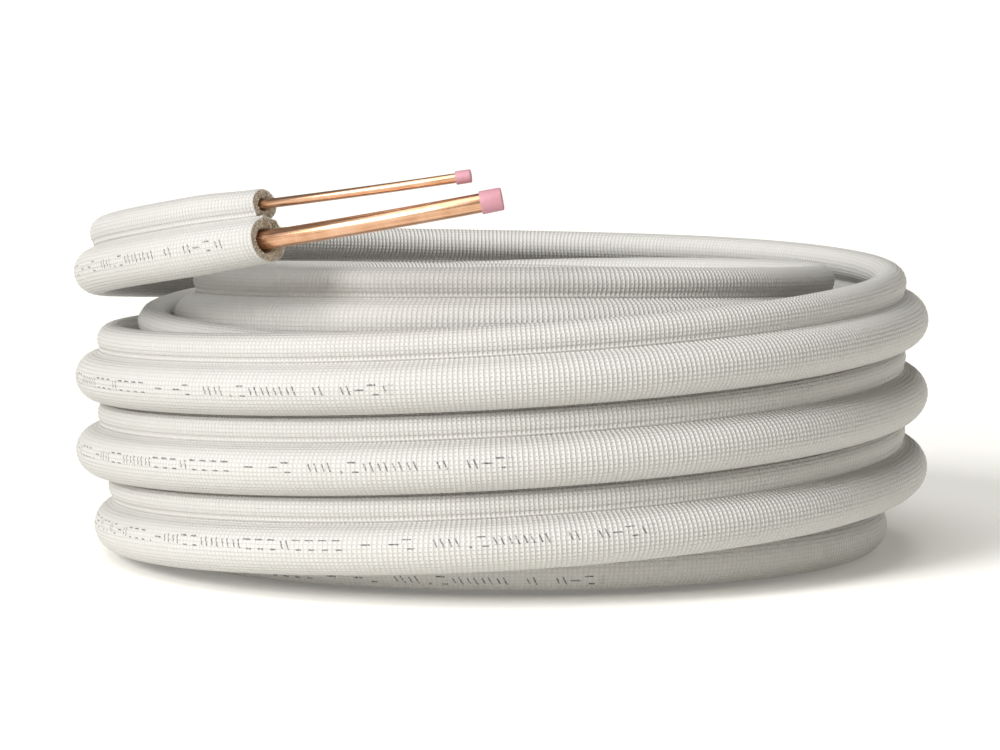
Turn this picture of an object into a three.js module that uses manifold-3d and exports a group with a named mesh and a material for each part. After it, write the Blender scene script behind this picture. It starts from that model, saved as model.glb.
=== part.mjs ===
// Mini split line set: a small and a large copper pipe, each in a white foam sleeve,
// bonded side by side and wound into a coil that lies on the floor.
// Millimetres, +Z up. The origin is on the floor, on the axis of the coil.

import * as THREE from 'three';
import { mergeVertices } from 'three/addons/utils/BufferGeometryUtils.js';
import Module from 'manifold-3d';

const wasm = await Module();
wasm.setup();

// Copper pipes
const largePipeDiameter = 12.7;
const smallPipeDiameter = 6.35;
const pipeWall = 0.81;

// Foam sleeves
const largeSleeveDiameter = 33.5;
const smallSleeveDiameter = 22.8;
const sleeveLength = 15000;

// The coil's outside diameter, and the lean of the small sleeve towards the axis in the
// outer layer and inside it
const coilDiameter = 617.5;
const nestLean = THREE.MathUtils.degToRad(22);
const innerLean = THREE.MathUtils.degToRad(19);

// The outer turns dip on one side of the coil, and the free end springs up
const turnDip = 8;
const springRise = 48;
const springTurns = 0.5;
const springPower = 2.2;

// The free end: bare copper past the sleeves, and the squeeze of the cut foam
const freeAngle = THREE.MathUtils.degToRad(240);
const sleeveCutTurn = 2 / 360;
const smallSleeveSetback = 6;
const largePipeBare = 162;
const smallPipeBare = 144.5;
const pipeInSleeve = 150;
const cutSqueeze = 0.08;
const squeezeLength = 70;
const pipeConvergence = 0.043;

// The hidden end: plain short tails
const tailBare = 45;
const tailInSleeve = 50;

// Push caps
const largeCapDiameter = 15.3;
const largeCapLength = 14.5;
const smallCapDiameter = 8.9;
const smallCapLength = 10;
const capEnd = 1.2;
const capSeat = 0.5;
const capRounding = 0.6;

// Clearances between pieces, and between one turn and the next
const clearance = 0.3;
const turnClearance = 0.4;

// Fineness of the faceted solids
const sleeveSides = 12;
const pipeSides = 12;
const capSides = 16;
const stationsPerTurn = 24;
const fineStationsPerTurn = 72;
const stationSpacing = 4;
const axesStep = 1 / 192;
const capArcSegments = 3;

// A regular polygon with the area of a circle: its corner and flat radii for radius 1
const circleArea = Math.PI;
const sleeveCorner = Math.sqrt(circleArea / (0.5 * sleeveSides * Math.sin(2 * Math.PI / sleeveSides)));
const sleeveFlat = sleeveCorner * Math.cos(Math.PI / sleeveSides);
const pipeCorner = Math.sqrt(circleArea / (0.5 * pipeSides * Math.sin(2 * Math.PI / pipeSides)));

const largeSleeveRadius = largeSleeveDiameter / 2;
const smallSleeveRadius = smallSleeveDiameter / 2;
const sleeveRadiusSum = largeSleeveRadius + smallSleeveRadius;

// Centre to centre of the twin, flat on flat, and of two turns, corner on corner
const twinDistance = sleeveRadiusSum * sleeveFlat + clearance;
const nestDistance = sleeveRadiusSum * sleeveCorner + turnClearance;
const twinRise = twinDistance * Math.cos(nestLean);
const twinInset = twinDistance * Math.sin(nestLean);
const nestRise = Math.sqrt(nestDistance ** 2 - twinInset ** 2);
const outerPitch = twinRise + nestRise;
const stackRise = 2 * twinDistance + turnClearance;

// Radius of the large sleeve's centre line in each layer, from the outermost
const outerRadius = coilDiameter / 2 - largeSleeveRadius;
const middleRadius = outerRadius - twinInset - nestDistance;
const sideDistance = 2 * largeSleeveRadius * sleeveCorner + turnClearance;
const innerRadius = middleRadius - sideDistance;
const coreRadius = innerRadius - sideDistance;
const layerRadii = [outerRadius, middleRadius, innerRadius, coreRadius];

// The winding at chosen turns from the free end: how many layers in, how many stacked
// turns up once it has landed, and the lean of the small sleeve. The last rows take the
// turns that a longer, thicker or tighter line needs
const landingTurn = 3.22;
const winding = [
  { turn: 0, layer: 0, level: 0, lean: nestLean },
  { turn: 0.17, layer: 0, level: 0, lean: nestLean * 0.55 },
  { turn: 0.45, layer: 0, level: 0, lean: nestLean },
  { turn: 2.85, layer: 0, level: 0, lean: nestLean },
  { turn: 3.05, layer: 0.1, level: 0, lean: nestLean * 0.77 },
  { turn: 3.17, layer: 0.35, level: 0, lean: nestLean * 0.41 },
  { turn: 3.41, layer: 0.47, level: 0, lean: 0 },
  { turn: 3.65, layer: 0.67, level: 0, lean: 0 },
  { turn: 3.92, layer: 1.08, level: 0.09, lean: 0 },
  { turn: 4.16, layer: 1.29, level: 0, lean: 0 },
  { turn: 4.41, layer: 1.44, level: 0, lean: 0 },
  { turn: 4.66, layer: 1.68, level: 0, lean: 0 },
  { turn: 4.91, layer: 2.12, level: 0, lean: 0 },
  { turn: 5.16, layer: 2.24, level: 0.24, lean: 0 },
  { turn: 5.41, layer: 2.26, level: 0.63, lean: 0 },
  { turn: 5.66, layer: 1.92, level: 1.16, lean: 0 },
  { turn: 5.95, layer: 1.03, level: 2.05, lean: 0 },
  { turn: 6.16, layer: 1, level: 2.14, lean: 0 },
  { turn: 6.41, layer: 1.09, level: 2.37, lean: innerLean / 3 },
  { turn: 6.66, layer: 1.35, level: 2.64, lean: innerLean },
  { turn: 6.91, layer: 1.67, level: 2.885, lean: innerLean },
  { turn: 7.16, layer: 1.9, level: 2.67, lean: innerLean },
  { turn: 7.41, layer: 2.09, level: 2.4, lean: innerLean },
  { turn: 7.66, layer: 2.27, level: 2.35, lean: innerLean },
  { turn: 7.91, layer: 2.3, level: 2.14, lean: innerLean },
  { turn: 8.16, layer: 2.45, level: 1.78, lean: innerLean },
  { turn: 8.41, layer: 3.05, level: 1.4, lean: innerLean },
  { turn: 8.66, layer: 3.1, level: 1.15, lean: innerLean },
  { turn: 8.91, layer: 3.1, level: 1.04, lean: innerLean },
  { turn: 9.16, layer: 3.22, level: 0.6, lean: innerLean / 2 },
  { turn: 9.42, layer: 3.24, level: 0, lean: 0 },
  { turn: 9.95, layer: 3.24, level: 0, lean: 0 },
  { turn: 10.4, layer: 4.3, level: 0, lean: 0 },
  { turn: 10.95, layer: 4.3, level: 0, lean: 0 },
  { turn: 11.4, layer: 5.35, level: 0, lean: 0 },
  { turn: 12, layer: 5.35, level: 0, lean: 0 },
];

// Smooth curve through the values of one property of the winding, with no overshoot
function smoothThrough(property) {
  const turns = winding.map((row) => row.turn);
  const values = winding.map((row) => row[property]);
  const slopes = values.slice(1).map((value, i) => (value - values[i]) / (turns[i + 1] - turns[i]));
  const tangents = values.map((value, i) => {
    const before = slopes[i - 1];
    const after = slopes[i];
    if (before === undefined || after === undefined || before * after <= 0) return 0;
    return 2 * before * after / (before + after);
  });
  return (turn) => {
    const last = turns.length - 2;
    const found = turns.findIndex((start, i) => i <= last && turn < turns[i + 1]);
    const i = found < 0 ? last : found;
    const span = turns[i + 1] - turns[i];
    const t = THREE.MathUtils.clamp((turn - turns[i]) / span, 0, 1);
    const startPart = (1 + 2 * t) * (1 - t) ** 2 * values[i] + t * (1 - t) ** 2 * span * tangents[i];
    const endPart = t ** 2 * (3 - 2 * t) * values[i + 1] + t ** 2 * (t - 1) * span * tangents[i + 1];
    return startPart + endPart;
  };
}

const layerAt = smoothThrough('layer');
const levelAt = smoothThrough('level');
const leanAt = smoothThrough('lean');

function angleAt(turn) {
  return freeAngle - 2 * Math.PI * turn;
}

function radiusAt(turn) {
  const layer = layerAt(turn);
  const whole = Math.min(Math.floor(layer), layerRadii.length - 2);
  return THREE.MathUtils.lerp(layerRadii[whole], layerRadii[whole + 1], layer - whole);
}

// Height of the large sleeve's centre when the leaning section touches the floor
function restHeight(turn) {
  const sideAngle = 2 * Math.PI / sleeveSides;
  const offFlat = THREE.MathUtils.euclideanModulo(leanAt(turn), sideAngle) - sideAngle / 2;
  return largeSleeveRadius * sleeveCorner * Math.cos(offFlat);
}

// The outer layer goes down one pitch a turn and ends on the floor
function outerHeight(turn) {
  const rest = largeSleeveRadius * sleeveFlat;
  const steady = rest + outerPitch * (landingTurn - turn) + turnDip * (1 + Math.cos(angleAt(turn)));
  const spring = springRise * Math.max((springTurns - turn) / springTurns, 0) ** springPower;
  return steady + spring;
}

function heightAt(turn) {
  const rest = restHeight(turn);
  if (turn < landingTurn) return Math.max(outerHeight(turn), rest);
  return rest + stackRise * levelAt(turn);
}

function turnsOf(length) {
  return length / (2 * Math.PI * outerRadius);
}

// The foam is squeezed where it was cut
function squeezeAt(turn) {
  const along = (turn - sleeveCutTurn) / turnsOf(squeezeLength);
  return 1 - cutSqueeze * (1 - THREE.MathUtils.smoothstep(along, 0, 1));
}

// The bare pipes come closer together past the sleeves
function twinDistanceAt(turn) {
  const bareLength = Math.max(sleeveCutTurn - turn, 0) / turnsOf(1);
  return sleeveRadiusSum * sleeveFlat * squeezeAt(turn) + clearance - pipeConvergence * bareLength;
}

function largeCentre(turn) {
  const angle = angleAt(turn);
  const radius = radiusAt(turn);
  return new THREE.Vector3(radius * Math.cos(angle), radius * Math.sin(angle), heightAt(turn));
}

// Directions across the twin at a turn: out from the axis and up, both leaning
function sectionAxes(turn) {
  const along = largeCentre(turn + axesStep).sub(largeCentre(turn - axesStep)).normalize();
  const angle = angleAt(turn);
  const out = new THREE.Vector3(Math.cos(angle), Math.sin(angle), 0);
  out.addScaledVector(along, -out.dot(along)).normalize();
  const up = new THREE.Vector3().crossVectors(along, out);
  const lean = leanAt(turn);
  const leaningOut = out.clone().multiplyScalar(Math.cos(lean)).addScaledVector(up, Math.sin(lean));
  const leaningUp = up.clone().multiplyScalar(Math.cos(lean)).addScaledVector(out, -Math.sin(lean));
  return { along, out: leaningOut, up: leaningUp };
}

function smallCentre(turn) {
  return largeCentre(turn).addScaledVector(sectionAxes(turn).up, twinDistanceAt(turn));
}

// A wound centre line with stations at given turns, whose section keeps upright.
// The frames carry the scale of the section.
class WoundPath extends THREE.Curve {
  constructor(centreAt, turns, scaleAt) {
    super();
    this.centreAt = centreAt;
    this.turns = turns;
    this.scaleAt = scaleAt;
  }

  getSpacedPoints() {
    return this.turns.map((turn) => this.centreAt(turn));
  }

  computeFrenetFrames() {
    const axes = this.turns.map((turn) => sectionAxes(turn));
    const scales = this.turns.map((turn) => this.scaleAt(turn));
    return {
      tangents: axes.map((axis) => axis.along),
      normals: axes.map((axis, i) => axis.out.clone().multiplyScalar(scales[i])),
      binormals: axes.map((axis, i) => axis.up.clone().multiplyScalar(scales[i])),
    };
  }
}

// A polygon with the area of a circle, with flats to the sides, above and below
function roundPoints(radius, sides, corner) {
  return Array.from({ length: sides }, (unused, i) => {
    const angle = 2 * Math.PI * (i + 0.5) / sides;
    return new THREE.Vector2(radius * corner * Math.cos(angle), radius * corner * Math.sin(angle));
  });
}

function sweep(shape, centreAt, turns, scaleAt = () => 1) {
  const extrudePath = new WoundPath(centreAt, turns, scaleAt);
  return new THREE.ExtrudeGeometry(shape, { steps: turns.length - 1, bevelEnabled: false, extrudePath });
}

function toSolid(geometry) {
  const bare = geometry.clone();
  bare.deleteAttribute('normal');
  bare.deleteAttribute('uv');
  const merged = mergeVertices(bare);
  const vertProperties = new Float32Array(merged.attributes.position.array);
  const triVerts = new Uint32Array(merged.index.array);
  return new wasm.Manifold(new wasm.Mesh({ numProp: 3, vertProperties, triVerts }));
}

function toGeometry(solid) {
  const mesh = solid.getMesh();
  const geometry = new THREE.BufferGeometry();
  geometry.setAttribute('position', new THREE.BufferAttribute(mesh.vertProperties, 3));
  geometry.setIndex(new THREE.BufferAttribute(mesh.triVerts, 1));
  geometry.computeVertexNormals();
  return geometry;
}

// Length of the large sleeve's centre line from the cut to a turn
function woundLength(endTurn) {
  const samples = Math.ceil((endTurn - sleeveCutTurn) * stationsPerTurn);
  let length = 0;
  let before = largeCentre(sleeveCutTurn);
  for (let i = 1; i <= samples; i += 1) {
    const here = largeCentre(THREE.MathUtils.lerp(sleeveCutTurn, endTurn, i / samples));
    length += here.distanceTo(before);
    before = here;
  }
  return length;
}

// The sleeves end on the innermost layer, at the first whole station past their length
function findEndTurn() {
  let station = 1;
  while (woundLength(station / stationsPerTurn) < sleeveLength) station += 1;
  return station / stationsPerTurn;
}

const endTurn = findEndTurn();
const turnsAtEnd = (length) => length / (2 * Math.PI * radiusAt(endTurn));

// Turns at which the pieces begin and end
const smallCutTurn = sleeveCutTurn + turnsOf(smallSleeveSetback);
const largeTipTurn = sleeveCutTurn - turnsOf(largePipeBare);
const smallTipTurn = sleeveCutTurn - turnsOf(smallPipeBare);
const largeCapTurn = largeTipTurn + turnsOf(largeCapLength);
const smallCapTurn = smallTipTurn + turnsOf(smallCapLength);
const pipeEndTurn = sleeveCutTurn + turnsOf(pipeInSleeve);
const tailStartTurn = endTurn - turnsAtEnd(tailInSleeve);
const tailTipTurn = endTurn + turnsAtEnd(tailBare);
const largeTailCapTurn = tailTipTurn - turnsAtEnd(largeCapLength);
const smallTailCapTurn = tailTipTurn - turnsAtEnd(smallCapLength);

// All pieces share these stations, so that they keep their clearance on the chords
function makeStations() {
  const marks = [largeTipTurn, largeCapTurn, smallTipTurn, smallCapTurn, sleeveCutTurn, smallCutTurn,
    pipeEndTurn, tailStartTurn, endTurn, largeTailCapTurn, smallTailCapTurn, tailTipTurn];
  const fineFrom = Math.ceil(largeTipTurn * fineStationsPerTurn);
  const fineTo = Math.floor(pipeEndTurn * fineStationsPerTurn);
  const fine = [];
  for (let i = fineFrom; i <= fineTo; i += 1) fine.push(i / fineStationsPerTurn);
  const coarse = [];
  const coarseFrom = Math.ceil(pipeEndTurn * stationsPerTurn);
  for (let i = coarseFrom; i < endTurn * stationsPerTurn; i += 1) coarse.push(i / stationsPerTurn);
  const isFree = (turn) => marks.every((mark) => Math.abs(mark - turn) > turnsOf(stationSpacing));
  return [...marks, ...fine.filter(isFree), ...coarse.filter(isFree)].sort((a, b) => a - b);
}

const stations = makeStations();

function stationsBetween(from, to) {
  return stations.filter((turn) => turn >= from && turn <= to);
}

// A solid sleeve with a bore at each end, where the pipe's end sits
function makeSleeve(radius, pipeRadius, centreAt, cutTurn) {
  const section = new THREE.Shape(roundPoints(radius, sleeveSides, sleeveCorner));
  const sleeve = toSolid(sweep(section, centreAt, stationsBetween(cutTurn, endTurn), squeezeAt));
  const bore = new THREE.Shape(roundPoints(pipeRadius + clearance, pipeSides, pipeCorner));
  const past = turnsOf(clearance);
  const freeTurns = [...stationsBetween(smallTipTurn, pipeEndTurn), pipeEndTurn + past];
  const tailTurns = [tailStartTurn - past, ...stationsBetween(tailStartTurn, tailTipTurn)];
  const freeBore = toSolid(sweep(bore, centreAt, freeTurns));
  const tailBore = toSolid(sweep(bore, centreAt, tailTurns));
  return toGeometry(sleeve.subtract(freeBore).subtract(tailBore));
}

function makePipe(radius, centreAt, fromTurn, toTurn) {
  const section = new THREE.Shape(roundPoints(radius, pipeSides, pipeCorner));
  section.holes.push(new THREE.Path(roundPoints(radius - pipeWall, pipeSides, pipeCorner).reverse()));
  return sweep(section, centreAt, stationsBetween(fromTurn, toTurn));
}

// A cup with rounded end, open at the bottom, around the Y axis
function makeCap(radius, length, pipeRadius) {
  const bore = (pipeRadius * pipeCorner + clearance) / Math.cos(Math.PI / capSides);
  const profile = new THREE.Path();
  profile.moveTo(0, length - capEnd);
  profile.lineTo(bore, length - capEnd);
  profile.lineTo(bore, 0);
  profile.lineTo(radius, 0);
  profile.lineTo(radius, length - capRounding);
  profile.absarc(radius - capRounding, length - capRounding, capRounding, 0, Math.PI / 2, false);
  profile.lineTo(0, length);
  return new THREE.LatheGeometry(profile.getPoints(capArcSegments), capSides);
}

// Seats a cap on the straight last stretch of a pipe
function placeCap(mesh, centreAt, mouthTurn, tipTurn, length) {
  const tip = centreAt(tipTurn);
  const outward = tip.clone().sub(centreAt(mouthTurn)).normalize();
  mesh.quaternion.setFromUnitVectors(new THREE.Vector3(0, 1, 0), outward);
  mesh.position.copy(tip).addScaledVector(outward, capEnd + capSeat - length);
}

const foamWhite = { color: 0xf1efe9, roughness: 0.85, metalness: 0 };
const copper = { color: 0xb8734a, roughness: 0.3, metalness: 1 };
const capPink = { color: 0xd9899b, roughness: 0.55, metalness: 0 };

const lineSet = new THREE.Group();

function addPiece(name, geometry, finish) {
  const mesh = new THREE.Mesh(geometry, new THREE.MeshStandardMaterial(finish));
  mesh.name = name;
  lineSet.add(mesh);
  return mesh;
}

const lines = [
  {
    name: 'large',
    centreAt: largeCentre,
    sleeveRadius: largeSleeveRadius,
    pipeRadius: largePipeDiameter / 2,
    cutTurn: sleeveCutTurn,
    tipTurn: largeTipTurn,
    capTurn: largeCapTurn,
    tailCapTurn: largeTailCapTurn,
    capRadius: largeCapDiameter / 2,
    capLength: largeCapLength,
  },
  {
    name: 'small',
    centreAt: smallCentre,
    sleeveRadius: smallSleeveRadius,
    pipeRadius: smallPipeDiameter / 2,
    cutTurn: smallCutTurn,
    tipTurn: smallTipTurn,
    capTurn: smallCapTurn,
    tailCapTurn: smallTailCapTurn,
    capRadius: smallCapDiameter / 2,
    capLength: smallCapLength,
  },
];

for (const line of lines) {
  const { name, centreAt, sleeveRadius, pipeRadius, capRadius, capLength } = line;
  const { cutTurn, tipTurn, capTurn, tailCapTurn } = line;
  addPiece(`${name}_insulation`, makeSleeve(sleeveRadius, pipeRadius, centreAt, cutTurn), foamWhite);
  addPiece(`${name}_pipe`, makePipe(pipeRadius, centreAt, tipTurn, pipeEndTurn), copper);
  addPiece(`${name}_pipe_tail`, makePipe(pipeRadius, centreAt, tailStartTurn, tailTipTurn), copper);
  const cap = addPiece(`${name}_pipe_cap`, makeCap(capRadius, capLength, pipeRadius), capPink);
  placeCap(cap, centreAt, capTurn, tipTurn, capLength);
  const tailCap = addPiece(`${name}_tail_cap`, makeCap(capRadius, capLength, pipeRadius), capPink);
  placeCap(tailCap, centreAt, tailCapTurn, tailTipTurn, capLength);
}

export default lineSet;
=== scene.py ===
"""Looks of a mini split line set: twin white foam sleeves on copper pipes, wound into a coil.

Metres, +Z up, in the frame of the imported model. The origin is on the floor, on the coil's axis.
"""

import math

import bmesh
import bpy
import numpy as np
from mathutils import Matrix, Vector


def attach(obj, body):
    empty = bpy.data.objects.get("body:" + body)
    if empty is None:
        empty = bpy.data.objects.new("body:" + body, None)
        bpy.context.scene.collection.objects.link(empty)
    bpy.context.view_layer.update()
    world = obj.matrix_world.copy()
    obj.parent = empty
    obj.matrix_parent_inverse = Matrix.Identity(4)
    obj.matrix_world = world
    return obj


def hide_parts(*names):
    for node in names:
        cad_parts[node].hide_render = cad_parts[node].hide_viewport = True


SEED = 7

# Copper pipes and foam sleeves
LARGE_PIPE_RADIUS = 0.00635
SMALL_PIPE_RADIUS = 0.003175
PIPE_WALL = 0.00081
LARGE_SLEEVE_RADIUS = 0.01675
SMALL_SLEEVE_RADIUS = 0.0114

# The coil, and the lean of the small sleeve towards the axis in the outer layer and inside it
COIL_DIAMETER = 0.6175
NEST_LEAN = math.radians(22)
INNER_LEAN = math.radians(19)

# The outer turns dip on one side of the coil, and the free end springs up
TURN_DIP = 0.008
SPRING_RISE = 0.048
SPRING_TURNS = 0.5
SPRING_POWER = 2.2

# The free end: bare copper past the sleeves, and the squeeze of the cut foam
FREE_ANGLE = math.radians(240)
SLEEVE_CUT_TURN = 2 / 360
SMALL_SLEEVE_SETBACK = 0.006
LARGE_PIPE_BARE = 0.162
SMALL_PIPE_BARE = 0.1445
PIPE_IN_SLEEVE = 0.15
CUT_SQUEEZE = 0.08
SQUEEZE_LENGTH = 0.07
PIPE_CONVERGENCE = 0.043

# The hidden end
END_TURN = 9.875
TAIL_BARE = 0.045
TAIL_IN_SLEEVE = 0.05

# Push caps
LARGE_CAP_RADIUS = 0.00765
LARGE_CAP_LENGTH = 0.0145
SMALL_CAP_RADIUS = 0.00445
SMALL_CAP_LENGTH = 0.01
CAP_END = 0.0012
CAP_SEAT = 0.0005

# Clearances, and the twelve-sided sections of the solids, whose centre lines the sleeves keep
CLEARANCE = 0.0003
TURN_CLEARANCE = 0.0004
SECTION_SIDES = 12
SECTION_CORNER = math.sqrt(math.pi / (0.5 * SECTION_SIDES * math.sin(2 * math.pi / SECTION_SIDES)))
SECTION_FLAT = SECTION_CORNER * math.cos(math.pi / SECTION_SIDES)

SLEEVE_RADIUS_SUM = LARGE_SLEEVE_RADIUS + SMALL_SLEEVE_RADIUS
TWIN_DISTANCE = SLEEVE_RADIUS_SUM * SECTION_FLAT + CLEARANCE
NEST_DISTANCE = SLEEVE_RADIUS_SUM * SECTION_CORNER + TURN_CLEARANCE
TWIN_INSET = TWIN_DISTANCE * math.sin(NEST_LEAN)
OUTER_PITCH = TWIN_DISTANCE * math.cos(NEST_LEAN) + math.sqrt(NEST_DISTANCE ** 2 - TWIN_INSET ** 2)
STACK_RISE = 2 * TWIN_DISTANCE + TURN_CLEARANCE

OUTER_RADIUS = COIL_DIAMETER / 2 - LARGE_SLEEVE_RADIUS
MIDDLE_RADIUS = OUTER_RADIUS - TWIN_INSET - NEST_DISTANCE
SIDE_DISTANCE = 2 * LARGE_SLEEVE_RADIUS * SECTION_CORNER + TURN_CLEARANCE
LAYER_RADII = np.array([OUTER_RADIUS, MIDDLE_RADIUS, MIDDLE_RADIUS - SIDE_DISTANCE,
                        MIDDLE_RADIUS - 2 * SIDE_DISTANCE])

# The winding at chosen turns from the free end: turn, layers in, levels up once it has
# landed, and lean of the small sleeve
LANDING_TURN = 3.22
WINDING = np.array([
    (0, 0, 0, NEST_LEAN),
    (0.17, 0, 0, NEST_LEAN * 0.55),
    (0.45, 0, 0, NEST_LEAN),
    (2.85, 0, 0, NEST_LEAN),
    (3.05, 0.1, 0, NEST_LEAN * 0.77),
    (3.17, 0.35, 0, NEST_LEAN * 0.41),
    (3.41, 0.47, 0, 0),
    (3.65, 0.67, 0, 0),
    (3.92, 1.08, 0.09, 0),
    (4.16, 1.29, 0, 0),
    (4.41, 1.44, 0, 0),
    (4.66, 1.68, 0, 0),
    (4.91, 2.12, 0, 0),
    (5.16, 2.24, 0.24, 0),
    (5.41, 2.26, 0.63, 0),
    (5.66, 1.92, 1.16, 0),
    (5.95, 1.03, 2.05, 0),
    (6.16, 1, 2.14, 0),
    (6.41, 1.09, 2.37, INNER_LEAN / 3),
    (6.66, 1.35, 2.64, INNER_LEAN),
    (6.91, 1.67, 2.885, INNER_LEAN),
    (7.16, 1.9, 2.67, INNER_LEAN),
    (7.41, 2.09, 2.4, INNER_LEAN),
    (7.66, 2.27, 2.35, INNER_LEAN),
    (7.91, 2.3, 2.14, INNER_LEAN),
    (8.16, 2.45, 1.78, INNER_LEAN),
    (8.41, 3.05, 1.4, INNER_LEAN),
    (8.66, 3.1, 1.15, INNER_LEAN),
    (8.91, 3.1, 1.04, INNER_LEAN),
    (9.16, 3.22, 0.6, INNER_LEAN / 2),
    (9.42, 3.24, 0, 0),
    (9.95, 3.24, 0, 0),
])

# Turns ahead and behind between which the direction of the line is taken
AXES_STEP = 1 / 192

# Relief of the sleeves: ridges around each section, and rings along the length that drift a little
LARGE_RIDGES = 35
SMALL_RIDGES = 25
SAMPLES_PER_RIDGE = 4
RIDGE_POWER = 0.7
RIDGE_DEPTH = 0.0006
LARGE_RING_PITCH = 0.0033
SMALL_RING_PITCH = 0.0031
RING_POWER = 0.8
RING_DRIFT = 1.6
DRIFT_SCALE = (60.0, 6.0, 1.0)
RELIEF_DEPTH = 0.0008
GRAIN_SHARE = 0.12

# Slow change of a sleeve's section along it, as shares of its radius
WOBBLE_LENGTH = 0.18
OVAL_SHARE = 0.012
THREE_SIDED_SHARE = 0.006

# Rings of a sleeve stand close where the turns are seen, and wider in the core of the coil
VISIBLE_TURNS = 4.2
VISIBLE_SPACING = 0.016
HIDDEN_SPACING = 0.036

# Cut ends of the foam: a thin skin that stands proud, a rough slanted face and a widened bore
SKIN_THICKNESS = 0.0007
SKIN_PROUD = 0.0002
RIM_ROUNDING = 0.0003
FACE_STEPS = 6
FACE_ROUGHNESS = 0.0005
CUT_SLANT = math.radians(12)
SLANT_LENGTH = 0.03
BORE_FLARE = 0.0028
BORE_FLARE_SIDE = math.radians(-40)
BORE_FLARE_LENGTH = 0.012
FLARE_MEAN = 0.75
FLARE_SWING = 0.5

# Share of the flare's length and of its width, ring by ring down the bore
FLARE_PROFILE = ((0.4, 0.6), (1.0, 0.2))

# Fillet that fills the valley between the twin sleeves
WEB_FILLET = 0.003

# Sections of the pipes and caps
PIPE_SIDES = 40
PIPE_SPACING = 0.003
PIPE_LIP = 0.3 * PIPE_WALL
CAP_SIDES = 48
CAP_ROUNDING = 0.16
CAP_ROUND_STEPS = 6
CAP_BEVEL = 0.0003
CAP_DISH = 0.0002
MERGE_DISTANCE = 1e-7

# Print on the large sleeve: plain dashes, ticks and dots in blocks that start at these turns,
# with the angle of their middle line at a few turns
PRINT_STARTS = (0.019, 0.953, 1.909, 2.864, 3.872)
PRINT_LENGTH = 0.56
PRINT_HEIGHT = 0.0065
PRINT_TURNS = (0, 1, 2, 3, 3.17, 3.9, 10)
PRINT_ANGLES = (-16, -19, -9, -1, 12, -33, -33)
PRINT_PITCH = 0.0094
PRINT_STROKE = 0.00055
PRINT_SLANT = 0.4

# Range of each cell's random value, 0 to 1, that makes a kind of mark
DOT_CHANCE = (0.06, 0.12)
TWO_DASHES_CHANCE = (0.12, 0.45)
TICKS_CHANCE = (0.45, 0.8)
DASH_CHANCE = (0.8, 0.92)

# Colours, and the shades of a ramp with their places on it
SKIN_COLOURS = ((0.615, 0.603, 0.575, 1), (0.655, 0.643, 0.615, 1))
# Painted shade that darkens the skin in its grooves: its colour, and how much of it at the deepest
GROOVE_SHADE_COLOUR = (0.38, 0.355, 0.30, 1)
GROOVE_SHADE_SHARE = 0.2
INK_COLOUR = (0.06, 0.057, 0.065, 1)
INK_COVER = 0.92
FOAM_SHADES = ((0.25, (0.14, 0.105, 0.07, 1)), (0.45, (0.42, 0.34, 0.25, 1)), (0.7, (0.72, 0.64, 0.52, 1)))
COPPER_SHADES = ((0.3, (0.40, 0.19, 0.09, 1)), (0.47, (0.72, 0.41, 0.25, 1)), (0.7, (0.88, 0.60, 0.44, 1)))
PINK_COLOURS = ((0.50, 0.23, 0.28, 1), (0.60, 0.30, 0.35, 1))
FLOOR_COLOUR = (0.95, 0.94, 0.90, 1)

# Studio floor: radius and height pairs from the middle to its raised rim
FLOOR_HEIGHT = -0.0002
FLOOR_PROFILE = ((0.0, FLOOR_HEIGHT), (2.0, FLOOR_HEIGHT), (30.0, FLOOR_HEIGHT),
                 (36.0, 0.4), (39.0, 2.0), (40.0, 6.0))
FLOOR_SIDES = 64

# Camera, fitted to the photograph
IMAGE_WIDTH = 1000
FOCAL_PIXELS = 3856.1
SENSOR_WIDTH = 36
CAMERA_PLACE = (-0.00113, -2.7952, 0.4013)
CAMERA_PITCH = math.radians(-5.663)
CAMERA_REACH = (0.01, 100)

# Light: a soft key from the left in front, a softer one from above, an even warm fill,
# and a floor that glows a little, so that it stays pale
KEY_DIRECTION = (-0.6, -0.62, 0.45)
KEY_SOFTNESS = math.radians(28)
KEY_STRENGTH = 3.0
TOP_DIRECTION = (-0.15, -0.3, 1.0)
TOP_SOFTNESS = math.radians(50)
TOP_STRENGTH = 1.5
FILL_STRENGTH = 0.13
FILL_COLOUR = (1.0, 0.96, 0.84, 1)
FLOOR_GLOW = 0.13
GLOW_COLOUR = (1.0, 0.985, 0.94, 1)


def smooth_through(column):
    """Smooth curve through one column of the winding, with no overshoot."""
    turns, values = WINDING[:, 0], WINDING[:, column]
    slopes = np.diff(values) / np.diff(turns)
    tangents = np.zeros(len(values))
    before, after = slopes[:-1], slopes[1:]
    agree = before * after > 0
    tangents[1:-1][agree] = (2 * before * after)[agree] / (before + after)[agree]

    def value_at(turn):
        i = np.clip(np.searchsorted(turns, turn, side="right") - 1, 0, len(turns) - 2)
        span = turns[i + 1] - turns[i]
        t = np.clip((turn - turns[i]) / span, 0, 1)
        start = (1 + 2 * t) * (1 - t) ** 2 * values[i] + t * (1 - t) ** 2 * span * tangents[i]
        end = t * t * (3 - 2 * t) * values[i + 1] + t * t * (t - 1) * span * tangents[i + 1]
        return start + end

    return value_at


layer_at, level_at, lean_at = (smooth_through(column) for column in (1, 2, 3))


def angle_at(turn):
    """Plan angle of the line, which falls as the turns count up from the free end."""
    return FREE_ANGLE - 2 * math.pi * turn


def radius_at(turn):
    """Distance of the line from the axis, between the radii of its layers."""
    layer = layer_at(turn)
    whole = np.minimum(layer.astype(int), len(LAYER_RADII) - 2)
    return LAYER_RADII[whole] + (LAYER_RADII[whole + 1] - LAYER_RADII[whole]) * (layer - whole)


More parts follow.
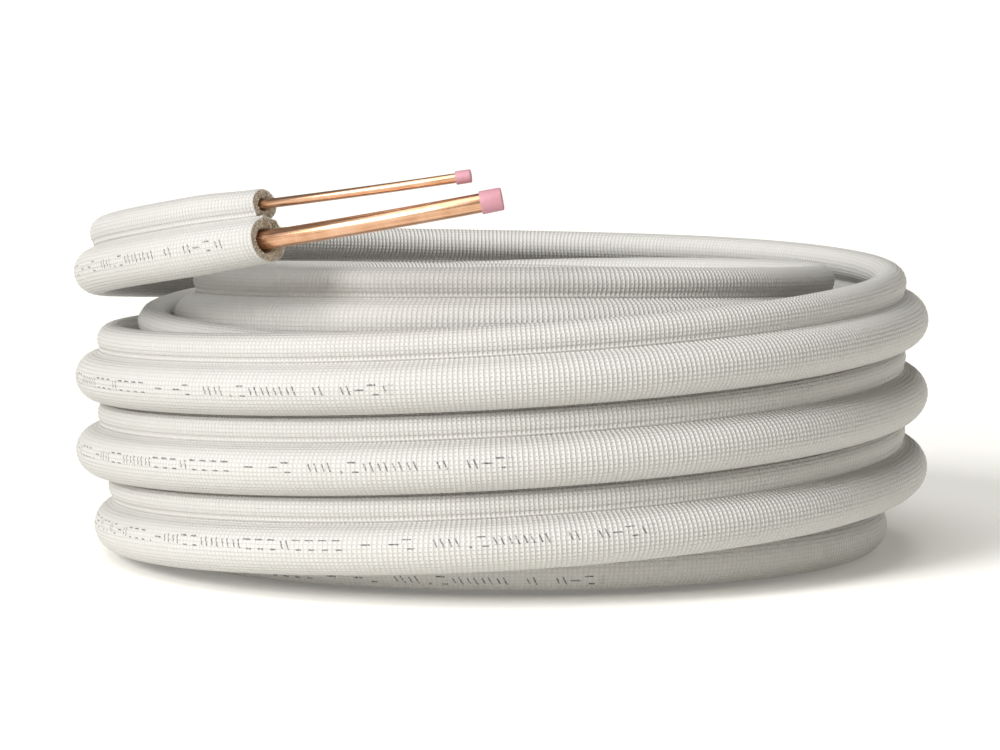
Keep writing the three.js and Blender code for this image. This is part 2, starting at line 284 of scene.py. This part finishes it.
def height_at(turn):
    """Height of the large sleeve's centre: the outer layer comes down a pitch a turn, then stacks."""
    side = 2 * math.pi / SECTION_SIDES
    rest = LARGE_SLEEVE_RADIUS * SECTION_CORNER * np.cos(lean_at(turn) % side - side / 2)
    spring = SPRING_RISE * np.maximum((SPRING_TURNS - turn) / SPRING_TURNS, 0) ** SPRING_POWER
    dip = TURN_DIP * (1 + np.cos(angle_at(turn)))
    outer = LARGE_SLEEVE_RADIUS * SECTION_FLAT + OUTER_PITCH * (LANDING_TURN - turn) + dip + spring
    return np.where(turn < LANDING_TURN, np.maximum(outer, rest), rest + STACK_RISE * level_at(turn))


def turns_of(length, radius=OUTER_RADIUS):
    """Turns that a length of line makes at a radius."""
    return length / (2 * math.pi * radius)


def squeeze_at(turn):
    """Scale of the sleeves' section, less than one where the foam was cut."""
    t = np.clip((turn - SLEEVE_CUT_TURN) / turns_of(SQUEEZE_LENGTH), 0, 1)
    return 1 - CUT_SQUEEZE * (1 - t * t * (3 - 2 * t))


def twin_distance_at(turn):
    """Distance between the two centre lines, which close in on each other past the sleeves."""
    bare = np.maximum(SLEEVE_CUT_TURN - turn, 0) / turns_of(1)
    return SLEEVE_RADIUS_SUM * SECTION_FLAT * squeeze_at(turn) + CLEARANCE - PIPE_CONVERGENCE * bare


def large_centre(turn):
    """Centre line of the large pipe."""
    angle, radius = angle_at(turn), radius_at(turn)
    return np.stack([radius * np.cos(angle), radius * np.sin(angle), height_at(turn)], axis=-1)


def unit(vectors):
    return vectors / np.linalg.norm(vectors, axis=-1, keepdims=True)


def section_axes(turn):
    """Directions along the twin, and out from the axis and up across it, both leaning."""
    along = unit(large_centre(turn + AXES_STEP) - large_centre(turn - AXES_STEP))
    angle = angle_at(turn)
    out = np.stack([np.cos(angle), np.sin(angle), np.zeros_like(angle)], axis=-1)
    out = unit(out - along * np.sum(out * along, axis=-1, keepdims=True))
    up = np.cross(along, out)
    lean = lean_at(turn)[..., None]
    return along, out * np.cos(lean) + up * np.sin(lean), up * np.cos(lean) - out * np.sin(lean)


def small_centre(turn):
    """Centre line of the small pipe, above the large one."""
    return large_centre(turn) + section_axes(turn)[2] * twin_distance_at(turn)[..., None]


def length_along(turns, centre_at):
    """Length of the centre line from the first turn to each turn."""
    steps = np.linalg.norm(np.diff(centre_at(turns), axis=0), axis=1)
    return np.concatenate([[0], np.cumsum(steps)])


def stations(from_turn, to_turn, spacing, radius=OUTER_RADIUS):
    """Evenly spaced turns between two turns, no more than the spacing apart at the radius."""
    count = max(int(math.ceil((to_turn - from_turn) / turns_of(spacing, radius))), 2)
    return np.linspace(from_turn, to_turn, count + 1)


def sleeve_stations(cut_turn):
    """Close stations where the turns are seen, wider ones in the core of the coil."""
    seen = stations(cut_turn, VISIBLE_TURNS, VISIBLE_SPACING)
    core = stations(VISIBLE_TURNS, END_TURN, HIDDEN_SPACING, MIDDLE_RADIUS)
    return np.concatenate([seen, core[1:]])


def ring_points(turns, centre_at, angles, radii):
    """Points of rings across a centre line, radii being one per ring and angle."""
    out, up = section_axes(turns)[1:]
    across = np.cos(angles)[None, :, None] * out[:, None, :] + np.sin(angles)[None, :, None] * up[:, None, :]
    return centre_at(turns)[:, None, :] + across * radii[..., None]


def ring_join(first, second, around):
    """Quads between two rings, given the number of the first point of each."""
    here = np.arange(around)
    there = (here + 1) % around
    return np.stack([first + here, first + there, second + there, second + here], axis=-1)


def tube_faces(rings, around, first=0, flip=False):
    """Quads between successive rings, which close around."""
    starts = first + around * np.arange(rings - 1)
    quads = np.concatenate([ring_join(start, start + around, around) for start in starts])
    return quads[:, ::-1] if flip else quads


def share_around(faces, around):
    """How far around its ring each corner of each face is, 0 to 1, and past 1 over the seam."""
    share = (faces % around) / around
    wraps = (share.max(axis=1) - share.min(axis=1)) > 0.5
    share[wraps] = np.where(share[wraps] < 0.5, share[wraps] + 1, share[wraps])
    return share


def make_object(name, points, faces, materials, material_index=None):
    """A smooth-shaded mesh object from arrays of points and faces."""
    mesh = bpy.data.meshes.new(name)
    mesh.from_pydata(points.reshape(-1, 3).tolist(), [], faces.tolist())
    for material in materials:
        mesh.materials.append(material)
    if material_index is not None:
        mesh.polygons.foreach_set("material_index", material_index)
    mesh.polygons.foreach_set("use_smooth", [True] * len(mesh.polygons))
    mesh.update()
    piece = bpy.data.objects.new(name, mesh)
    bpy.context.scene.collection.objects.link(piece)
    return piece


def set_corner_uv(mesh, name, u, v):
    """A named UV map with one place for each corner of each face."""
    layer = mesh.uv_layers.new(name=name)
    layer.data.foreach_set("uv", np.stack([u, v], axis=-1).astype(np.float32).ravel())


def slow_wobble(rng, length, count, wavelength):
    """A few slow random curves along a length, one a column, between -1 and 1."""
    knots = max(int(length[-1] / wavelength), 4)
    places = np.linspace(0, length[-1], knots)
    return np.stack([np.interp(length, places, rng.uniform(-1, 1, knots)) for _ in range(count)], axis=-1)


def web_fill(radius, angles):
    """Radii of a sleeve out to the fillet it shares with its twin, up to the plane between them."""
    other = SLEEVE_RADIUS_SUM - radius
    toward = math.pi / 2 if radius > other else -math.pi / 2
    reach = radius + WEB_FILLET
    x = (reach ** 2 + SLEEVE_RADIUS_SUM ** 2 - (other + WEB_FILLET) ** 2) / (2 * SLEEVE_RADIUS_SUM)
    y = math.sqrt(reach ** 2 - x ** 2)
    away = np.abs((angles - toward + math.pi) % (2 * math.pi) - math.pi)
    middle = x * np.cos(away) + y * np.sin(away)
    fillet = middle - np.sqrt(np.maximum(middle ** 2 - reach ** 2 + WEB_FILLET ** 2, 0))
    filled = np.minimum(fillet, radius / np.maximum(np.cos(away), 0.1))
    return np.where(away < math.atan2(y, x), filled, radius)


def sleeve_radii(radius, scale, ridges, angles, wave):
    """Radii of a sleeve's skin, a row for each station: ridges, a slow wobble and the twin's web."""
    ridge = np.abs(np.sin(0.5 * ridges * angles)) ** RIDGE_POWER
    oval = OVAL_SHARE * wave[:, :1] * np.cos(2 * angles + 1)[None, :]
    three_sided = THREE_SIDED_SHARE * wave[:, 1:2] * np.cos(3 * angles)[None, :]
    web = web_fill(radius, angles) - radius
    grooves = RIDGE_DEPTH * ((1 - ridge) * (web == 0))[None, :]
    return radius * scale[:, None] * (1 + oval + three_sided) - grooves + web[None, :]


def cut_rows(rim, pipe_radius, angles, depth):
    """Rings of a cut end, from the rim in and down the bore: how far out each stands, and its radii."""
    bore = pipe_radius + CLEARANCE
    widening = BORE_FLARE * (pipe_radius / LARGE_PIPE_RADIUS)
    mouth = bore + widening * (FLARE_MEAN + FLARE_SWING * np.cos(angles - BORE_FLARE_SIDE))
    inner_rim = rim - SKIN_THICKNESS
    rows = [(RIM_ROUNDING, rim - RIM_ROUNDING), (SKIN_PROUD, inner_rim)]
    rows += [(0.0, inner_rim + (mouth - inner_rim) * (step + 1) / FACE_STEPS) for step in range(FACE_STEPS)]
    rows += [(-BORE_FLARE_LENGTH * down, bore + (mouth - bore) * wide) for down, wide in FLARE_PROFILE]
    rows += [(-depth, np.full(len(angles), bore))]
    return np.array([row[0] for row in rows]), np.stack([row[1] for row in rows])


def make_sleeve(name, node, centre_at, radius, pipe_radius, cut_turn, ridges, rng, skin, foam):
    """A foam sleeve with its ribbed skin, a cut face at each end, and the bores of the pipe."""
    around = ridges * SAMPLES_PER_RIDGE
    angles = 2 * math.pi * np.arange(around) / around
    turns = sleeve_stations(cut_turn)
    length = length_along(turns, centre_at)
    wave = slow_wobble(rng, length, 3, WOBBLE_LENGTH)
    radii = sleeve_radii(radius, squeeze_at(turns), ridges, angles, wave)
    skin_points = ring_points(turns, centre_at, angles, radii)
    skin_points += slanted(turns, radii, angles, np.clip(1 - length / SLANT_LENGTH, 0, 1))
    skin_faces = tube_faces(len(turns), around, flip=True)

    points, faces, kinds = [skin_points.reshape(-1, 3)], [skin_faces], [np.zeros(len(skin_faces), int)]
    corner_u = [np.repeat(length, around)]
    used = len(turns) * around
    ends = ((0, -1, PIPE_IN_SLEEVE, OUTER_RADIUS),
            (len(turns) - 1, 1, TAIL_IN_SLEEVE, float(radius_at(turns[-1]))))
    for station, outward, depth, coil_radius in ends:
        offsets, ring_radii = cut_rows(radii[station], pipe_radius, angles, depth)
        ring_turns = turns[station] + outward * turns_of(offsets, coil_radius)
        rough = rng.uniform(-1, 1, (len(offsets), around, 1)) * (offsets == 0)[:, None, None]
        end_points = ring_points(ring_turns, centre_at, angles, ring_radii)
        end_points += section_axes(ring_turns)[0][:, None, :] * rough * FACE_ROUGHNESS
        if outward < 0:
            tilted = (offsets > -BORE_FLARE_LENGTH / 2).astype(float)
            end_points += slanted(ring_turns, ring_radii, angles, tilted)
        join = ring_join(station * around, used, around)
        inside = tube_faces(len(offsets), around, first=used)
        if outward > 0:
            join, inside = join[:, ::-1], inside[:, ::-1]
        points.append(end_points.reshape(-1, 3))
        faces += [join, inside]
        kinds += [np.zeros(around, int), np.where(np.arange(len(inside)) < around, 0, 1)]
        corner_u.append(np.repeat(length[station] - outward * offsets, around))
        used += len(offsets) * around

    points, faces, kinds = np.concatenate(points), np.concatenate(faces), np.concatenate(kinds)
    piece = make_object(name, points, faces, [skin, foam], kinds)
    along_corner = np.concatenate(corner_u)[faces]
    around_corner = share_around(faces, around)
    set_corner_uv(piece.data, "relief", along_corner.ravel(), around_corner.ravel())
    if centre_at is large_centre:
        print_u, print_v = print_coordinates(along_corner, around_corner, turns, length)
        set_corner_uv(piece.data, "print", print_u.ravel(), print_v.ravel())
    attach(piece, "root")
    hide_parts(node)
    return piece


def slanted(turns, radii, angles, amount):
    """Shift along the line that tilts a cut towards its outer side."""
    along = section_axes(turns)[0][:, None, :]
    return along * (radii * np.cos(angles)[None, :] * math.tan(CUT_SLANT) * amount[:, None])[..., None]


def print_coordinates(along, around, turns, length):
    """Length into the print block, and height across it, each corner of the large sleeve."""
    starts = np.interp(PRINT_STARTS, turns, length)
    turn_here = np.interp(along, length, turns)
    block = np.clip(np.searchsorted(starts, along, side="right") - 1, 0, len(starts) - 1)
    middle = np.interp(turn_here, PRINT_TURNS, PRINT_ANGLES) / 360
    offset = (around - middle + 0.5) % 1 - 0.5
    return along - starts[block], offset * 2 * math.pi * LARGE_SLEEVE_RADIUS


def make_pipe(name, node, centre_at, radius, from_turn, to_turn, copper, coil_radius=OUTER_RADIUS):
    """A copper tube with an open rounded mouth at both ends."""
    turns = stations(from_turn, to_turn, PIPE_SPACING, coil_radius)
    angles = 2 * math.pi * np.arange(PIPE_SIDES) / PIPE_SIDES
    inset = turns_of(PIPE_LIP, coil_radius)
    ends = ([from_turn, from_turn + inset], [to_turn - inset, to_turn])
    outer_turns = np.concatenate([ends[0], turns[1:-1], ends[1]])
    outer_radii = np.full(len(outer_turns), radius)
    outer_radii[[0, -1]] = radius - PIPE_LIP
    all_turns = np.concatenate([outer_turns, outer_turns[::-1]])
    all_radii = np.concatenate([outer_radii, np.full(len(outer_turns), radius - PIPE_WALL)])
    points = ring_points(all_turns, centre_at, angles, np.repeat(all_radii[:, None], PIPE_SIDES, axis=1))
    last_ring = (len(all_turns) - 1) * PIPE_SIDES
    wall = tube_faces(len(all_turns), PIPE_SIDES, flip=True)
    faces = np.concatenate([wall, ring_join(0, last_ring, PIPE_SIDES)])
    piece = make_object(name, points, faces, [copper])
    length = np.abs(all_turns - from_turn) / turns_of(1, coil_radius)
    along = np.repeat(length, PIPE_SIDES)[faces]
    set_corner_uv(piece.data, "relief", along.ravel(), share_around(faces, PIPE_SIDES).ravel())
    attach(piece, "root")
    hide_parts(node)
    return piece


def cap_profile(radius, length, bore):
    """Radius and height pairs of a push cap, from the inside of its end round to its closed end."""
    edge = radius * CAP_ROUNDING
    seat = length - CAP_END
    rows = [(0.0, seat), (bore, seat), (bore, CAP_BEVEL), (bore + CAP_BEVEL, 0.0)]
    rows += [(radius * 0.985, 0.0), (radius, 2 * CAP_BEVEL), (radius * 0.995, length * 0.5)]
    for step in range(CAP_ROUND_STEPS + 1):
        turn = 0.5 * math.pi * step / CAP_ROUND_STEPS
        rows.append((radius * 0.985 - edge * (1 - math.cos(turn)), length - edge * (1 - math.sin(turn))))
    rows += [(radius * 0.45, length), (radius * 0.38, length - CAP_DISH), (radius * 0.2, length - CAP_DISH)]
    rows += [(0.0, length - CAP_DISH / 2)]
    return np.array(rows)


def make_cap(name, node, centre_at, radius, length, pipe_radius, mouth_turn, tip_turn, pink):
    """A soft push cap on the straight last stretch of a pipe."""
    tip, mouth = (Vector(centre_at(np.array([turn]))[0]) for turn in (tip_turn, mouth_turn))
    outward = (tip - mouth).normalized()
    spin = np.array(Vector((0, 0, 1)).rotation_difference(outward).to_matrix())
    base = np.array(tip + outward * (CAP_END + CAP_SEAT - length))
    rows = cap_profile(radius, length, pipe_radius + CLEARANCE)
    angles = 2 * math.pi * np.arange(CAP_SIDES) / CAP_SIDES
    heights = np.repeat(rows[:, 1:], CAP_SIDES, axis=1)
    radii = rows[:, :1]
    local = np.stack([radii * np.cos(angles), radii * np.sin(angles), heights], axis=-1)
    piece = make_object(name, base + local @ spin.T, tube_faces(len(rows), CAP_SIDES), [pink])
    merge_poles(piece)
    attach(piece, "root")
    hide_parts(node)
    return piece


def merge_poles(piece):
    """Merge the points of rings that have no radius, and turn all faces outwards."""
    bm = bmesh.new()
    bm.from_mesh(piece.data)
    bmesh.ops.remove_doubles(bm, verts=bm.verts, dist=MERGE_DISTANCE)
    bmesh.ops.recalc_face_normals(bm, faces=bm.faces)
    bm.to_mesh(piece.data)
    bm.free()


class NodeGraph:
    """Short calls for building a material's nodes."""

    def __init__(self, name):
        self.material = bpy.data.materials.new(name)
        self.material.use_nodes = True
        self.tree = self.material.node_tree
        self.shader = self.tree.nodes["Principled BSDF"]

    def node(self, kind, inputs=None, **settings):
        made = self.tree.nodes.new(kind)
        for key, value in settings.items():
            setattr(made, key, value)
        for key, value in (inputs or {}).items():
            self.put(made.inputs[key], value)
        return made

    def put(self, socket, value):
        if isinstance(value, bpy.types.NodeSocket):
            self.tree.links.new(value, socket)
        else:
            socket.default_value = value

    def math(self, operation, *values):
        return self.node("ShaderNodeMath", dict(enumerate(values)), operation=operation).outputs[0]

    def uv(self, layer):
        source = self.node("ShaderNodeUVMap", uv_map=layer).outputs[0]
        split = self.node("ShaderNodeSeparateXYZ", {0: source}).outputs
        return source, split[0], split[1]

    def noise(self, vector, scale, detail=2.0, roughness=0.5):
        inputs = {"Vector": vector, "Scale": scale, "Detail": detail, "Roughness": roughness}
        return self.node("ShaderNodeTexNoise", inputs).outputs[0]

    def mix(self, amount, low, high):
        made = self.node("ShaderNodeMix", data_type="RGBA")
        self.put(made.inputs[0], amount)
        self.put(made.inputs[6], low)
        self.put(made.inputs[7], high)
        return made.outputs[2]

    def ramp(self, value, stops):
        made = self.node("ShaderNodeValToRGB", {0: value})
        elements = made.color_ramp.elements
        while len(elements) < len(stops):
            elements.new(0.5)
        for element, (place, shade) in zip(elements, stops):
            element.position, element.color = place, shade
        return made.outputs[0]

    def step(self, value, low, high):
        made = self.node("ShaderNodeMapRange", {"Value": value, "From Min": low, "From Max": high})
        made.interpolation_type = "SMOOTHSTEP"
        return made.outputs[0]

    def bump(self, height, distance, strength=1.0):
        inputs = {"Height": height, "Distance": distance, "Strength": strength}
        return self.node("ShaderNodeBump", inputs).outputs[0]

    def stretch(self, vector, scale):
        return self.node("ShaderNodeVectorMath", {0: vector, 1: scale}, operation="MULTIPLY").outputs[0]

    def place(self):
        return self.node("ShaderNodeTexCoord").outputs["Object"]


def make_skin(name, ridges, ring_pitch, printed):
    """White embossed film: pillows between lengthwise and ring grooves, with painted shade in the grooves.
    """
    graph = NodeGraph(name)
    source, along, around = graph.uv("relief")
    drift = graph.math("SUBTRACT", graph.noise(graph.stretch(source, DRIFT_SCALE), 1.0), 0.5)
    drift = graph.math("MULTIPLY", drift, RING_DRIFT)
    ring_phase = graph.math("ADD", graph.math("MULTIPLY", along, math.pi / ring_pitch), drift)
    ring = graph.math("ABSOLUTE", graph.math("SINE", ring_phase))
    ridge = graph.math("ABSOLUTE", graph.math("SINE", graph.math("MULTIPLY", around, math.pi * ridges)))
    ring, ridge = graph.math("POWER", ring, RING_POWER), graph.math("POWER", ridge, RIDGE_POWER)
    pillow = graph.math("MULTIPLY", ring, ridge)
    grain = graph.noise(graph.place(), 900.0, 3.0)
    height = graph.math("ADD", pillow, graph.math("MULTIPLY", grain, GRAIN_SHARE))
    graph.put(graph.shader.inputs["Normal"], graph.bump(height, RELIEF_DEPTH))
    # Painted shade in the grooves between the pillows, mixed over the skin's own tone
    groove = graph.step(pillow, 0.6, 0.05)
    skin_tone = graph.mix(graph.noise(graph.place(), 14.0, 3.0), *SKIN_COLOURS)
    colour = graph.mix(graph.math("MULTIPLY", groove, GROOVE_SHADE_SHARE), skin_tone, GROOVE_SHADE_COLOUR)
    if printed:
        colour = add_print(graph, colour)
    graph.put(graph.shader.inputs["Base Color"], colour)
    graph.shader.inputs["Roughness"].default_value = 0.5
    graph.shader.inputs["Specular IOR Level"].default_value = 0.35
    return graph.material


def add_print(graph, colour):
    """Broken ink marks in cells along each block: pairs of dashes, slanted ticks and dots."""
    along, across = graph.uv("print")[1:]
    cells = graph.math("DIVIDE", along, PRINT_PITCH)
    place = graph.math("MULTIPLY", graph.math("FRACT", cells), PRINT_PITCH)
    place = graph.math("SUBTRACT", place, graph.math("MULTIPLY", across, PRINT_SLANT))
    cell = graph.math("FLOOR", cells)
    chance = graph.node("ShaderNodeTexWhiteNoise", {"W": cell}, noise_dimensions="1D").outputs["Value"]

    def near(value, middle, reach):
        return graph.math("LESS_THAN", graph.math("ABSOLUTE", graph.math("SUBTRACT", value, middle)), reach)

    def within(value, low, high):
        above = graph.math("GREATER_THAN", value, low)
        return graph.math("MULTIPLY", above, graph.math("LESS_THAN", value, high))

    def stroke(place_middle, place_reach, across_middle, across_reach):
        beside = near(place, place_middle, place_reach)
        return graph.math("MULTIPLY", beside, near(across, across_middle, across_reach))

    half, middle = PRINT_HEIGHT / 2, PRINT_PITCH * 0.45
    dashes = graph.math("MAXIMUM", stroke(middle, PRINT_PITCH * 0.3, half, PRINT_STROKE),
                        stroke(middle, PRINT_PITCH * 0.22, -half, PRINT_STROKE))
    ticks = graph.math("MAXIMUM", stroke(PRINT_PITCH * 0.2, PRINT_STROKE, 0, half),
                       stroke(PRINT_PITCH * 0.65, PRINT_STROKE, 0, half * 0.8))
    dash = stroke(middle, PRINT_PITCH * 0.35, 0, PRINT_STROKE)
    dot = stroke(middle, PRINT_STROKE * 1.4, -half, PRINT_STROKE * 1.4)
    marks = graph.math("MULTIPLY", dashes, within(chance, *TWO_DASHES_CHANCE))
    for mark, chances in ((ticks, TICKS_CHANCE), (dash, DASH_CHANCE), (dot, DOT_CHANCE)):
        marks = graph.math("MAXIMUM", marks, graph.math("MULTIPLY", mark, within(chance, *chances)))
    marks = graph.math("MULTIPLY", marks, within(along, 0, PRINT_LENGTH))
    speck = graph.step(graph.noise(graph.place(), 1500.0, 2.0), 0.36, 0.52)
    amount = graph.math("MULTIPLY", marks, graph.math("MULTIPLY", speck, INK_COVER))
    return graph.mix(amount, colour, INK_COLOUR)


def make_foam():
    """Cut foam: grey-brown, with small open cells."""
    graph = NodeGraph("foam_cut")
    place = graph.place()
    cells = graph.node("ShaderNodeTexVoronoi", {"Vector": place, "Scale": 1400.0}).outputs["Distance"]
    grain = graph.noise(place, 500.0, 4.0)
    tone = graph.math("ADD", graph.math("MULTIPLY", cells, 0.7), graph.math("MULTIPLY", grain, 0.4))
    graph.put(graph.shader.inputs["Base Color"], graph.ramp(tone, FOAM_SHADES))
    graph.put(graph.shader.inputs["Normal"], graph.bump(cells, 0.0006))
    graph.shader.inputs["Roughness"].default_value = 0.95
    graph.shader.inputs["Specular IOR Level"].default_value = 0.15
    return graph.material


def make_copper():
    """Drawn copper: satin, with fine lengthwise streaks and a few tarnished stretches."""
    graph = NodeGraph("drawn_copper")
    source = graph.uv("relief")[0]
    streak = graph.noise(graph.stretch(source, (9.0, 46.0, 1.0)), 1.0, 5.0, 0.6)
    patch = graph.noise(graph.place(), 60.0, 3.0)
    tone = graph.math("ADD", graph.math("MULTIPLY", streak, 0.6), graph.math("MULTIPLY", patch, 0.4))
    graph.put(graph.shader.inputs["Base Color"], graph.ramp(tone, COPPER_SHADES))
    rough = graph.node("ShaderNodeMapRange", {"Value": streak, "To Min": 0.2, "To Max": 0.36}).outputs[0]
    graph.put(graph.shader.inputs["Roughness"], rough)
    graph.put(graph.shader.inputs["Normal"], graph.bump(streak, 0.00008, 0.6))
    graph.shader.inputs["Metallic"].default_value = 1.0
    return graph.material


def make_pink():
    """Soft pink plastic with a faint mottle."""
    graph = NodeGraph("cap_pink")
    place = graph.place()
    mottle = graph.noise(place, 260.0, 3.0)
    graph.put(graph.shader.inputs["Base Color"], graph.mix(mottle, *PINK_COLOURS))
    graph.put(graph.shader.inputs["Normal"], graph.bump(graph.noise(place, 1800.0), 0.00006))
    graph.shader.inputs["Roughness"].default_value = 0.5
    graph.shader.inputs["Subsurface Weight"].default_value = 0.1
    graph.shader.inputs["Subsurface Radius"].default_value = (0.002, 0.001, 0.001)
    return graph.material


def make_floor():
    """A pale studio floor that curves up far away."""
    graph = NodeGraph("pale_floor")
    graph.shader.inputs["Base Color"].default_value = FLOOR_COLOUR
    graph.shader.inputs["Roughness"].default_value = 0.9
    graph.shader.inputs["Emission Color"].default_value = GLOW_COLOUR
    graph.shader.inputs["Emission Strength"].default_value = FLOOR_GLOW
    angles = 2 * math.pi * np.arange(FLOOR_SIDES) / FLOOR_SIDES
    radii, heights = (np.array(values)[:, None] for values in zip(*FLOOR_PROFILE))
    points = np.stack([radii * np.cos(angles), radii * np.sin(angles), heights + 0 * angles], axis=-1)
    floor = make_object("floor", points, tube_faces(len(FLOOR_PROFILE), FLOOR_SIDES), [graph.material])
    return floor


def make_studio():
    """The even fill, and the two soft lights."""
    world = bpy.data.worlds.new("studio")
    world.use_nodes = True
    background = world.node_tree.nodes["Background"]
    background.inputs["Color"].default_value = FILL_COLOUR
    background.inputs["Strength"].default_value = FILL_STRENGTH
    bpy.context.scene.world = world
    bpy.context.scene.view_settings.view_transform = "Standard"
    for name, direction, strength, softness in (("key", KEY_DIRECTION, KEY_STRENGTH, KEY_SOFTNESS),
                                                ("top", TOP_DIRECTION, TOP_STRENGTH, TOP_SOFTNESS)):
        sun = bpy.data.lights.new(name, "SUN")
        sun.energy, sun.angle = strength, softness
        lamp = bpy.data.objects.new(name, sun)
        lamp.rotation_euler = (-Vector(direction)).to_track_quat("-Z", "Y").to_euler()
        bpy.context.scene.collection.objects.link(lamp)


def make_camera():
    """The camera that took the photograph, level apart from its pitch."""
    data = bpy.data.cameras.new("camera")
    data.sensor_width = SENSOR_WIDTH
    data.sensor_fit = "HORIZONTAL"
    data.lens = FOCAL_PIXELS / IMAGE_WIDTH * SENSOR_WIDTH
    data.clip_start, data.clip_end = CAMERA_REACH
    camera = bpy.data.objects.new("camera", data)
    camera.location = CAMERA_PLACE
    camera.rotation_euler = (math.pi / 2 + CAMERA_PITCH, 0, 0)
    bpy.context.scene.collection.objects.link(camera)
    bpy.context.scene.camera = camera


def make_line(name, centre_at, radius, pipe_radius, cut_turn, bare, ridges, cap, rng, finishes):
    """One insulated pipe: its sleeve, the bare ends of its copper and their caps."""
    skin, foam, copper, pink = finishes
    cap_radius, cap_length = cap
    tip = SLEEVE_CUT_TURN - turns_of(bare)
    hidden = SLEEVE_CUT_TURN + turns_of(PIPE_IN_SLEEVE)
    core = float(radius_at(np.array(END_TURN)))
    tail_start = END_TURN - turns_of(TAIL_IN_SLEEVE, core)
    tail_tip = END_TURN + turns_of(TAIL_BARE, core)
    make_sleeve(f"{name}_sleeve", f"{name}_insulation", centre_at, radius, pipe_radius, cut_turn,
                ridges, rng, skin, foam)
    make_pipe(f"{name}_copper", f"{name}_pipe", centre_at, pipe_radius, tip, hidden, copper)
    make_pipe(f"{name}_copper_tail", f"{name}_pipe_tail", centre_at, pipe_radius,
              tail_start, tail_tip, copper, core)
    make_cap(f"{name}_cap", f"{name}_pipe_cap", centre_at, cap_radius, cap_length, pipe_radius,
             tip + turns_of(cap_length), tip, pink)
    make_cap(f"{name}_cap_tail", f"{name}_tail_cap", centre_at, cap_radius, cap_length, pipe_radius,
             tail_tip - turns_of(cap_length, core), tail_tip, pink)


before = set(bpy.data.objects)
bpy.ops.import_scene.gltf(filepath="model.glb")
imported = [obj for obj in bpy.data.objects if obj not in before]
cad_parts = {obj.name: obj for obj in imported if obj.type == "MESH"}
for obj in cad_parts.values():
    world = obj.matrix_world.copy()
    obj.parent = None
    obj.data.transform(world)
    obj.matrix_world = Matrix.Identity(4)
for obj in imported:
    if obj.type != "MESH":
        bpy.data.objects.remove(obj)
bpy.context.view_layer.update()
rng = np.random.default_rng(SEED)
make_camera()
make_studio()
make_floor()
foam, copper, pink = make_foam(), make_copper(), make_pink()
large_skin = make_skin("large_skin", LARGE_RIDGES, LARGE_RING_PITCH, True)
small_skin = make_skin("small_skin", SMALL_RIDGES, SMALL_RING_PITCH, False)
make_line("large", large_centre, LARGE_SLEEVE_RADIUS, LARGE_PIPE_RADIUS, SLEEVE_CUT_TURN,
          LARGE_PIPE_BARE, LARGE_RIDGES, (LARGE_CAP_RADIUS, LARGE_CAP_LENGTH), rng,
          (large_skin, foam, copper, pink))
make_line("small", small_centre, SMALL_SLEEVE_RADIUS, SMALL_PIPE_RADIUS,
          SLEEVE_CUT_TURN + turns_of(SMALL_SLEEVE_SETBACK),
          SMALL_PIPE_BARE, SMALL_RIDGES, (SMALL_CAP_RADIUS, SMALL_CAP_LENGTH), rng,
          (small_skin, foam, copper, pink))
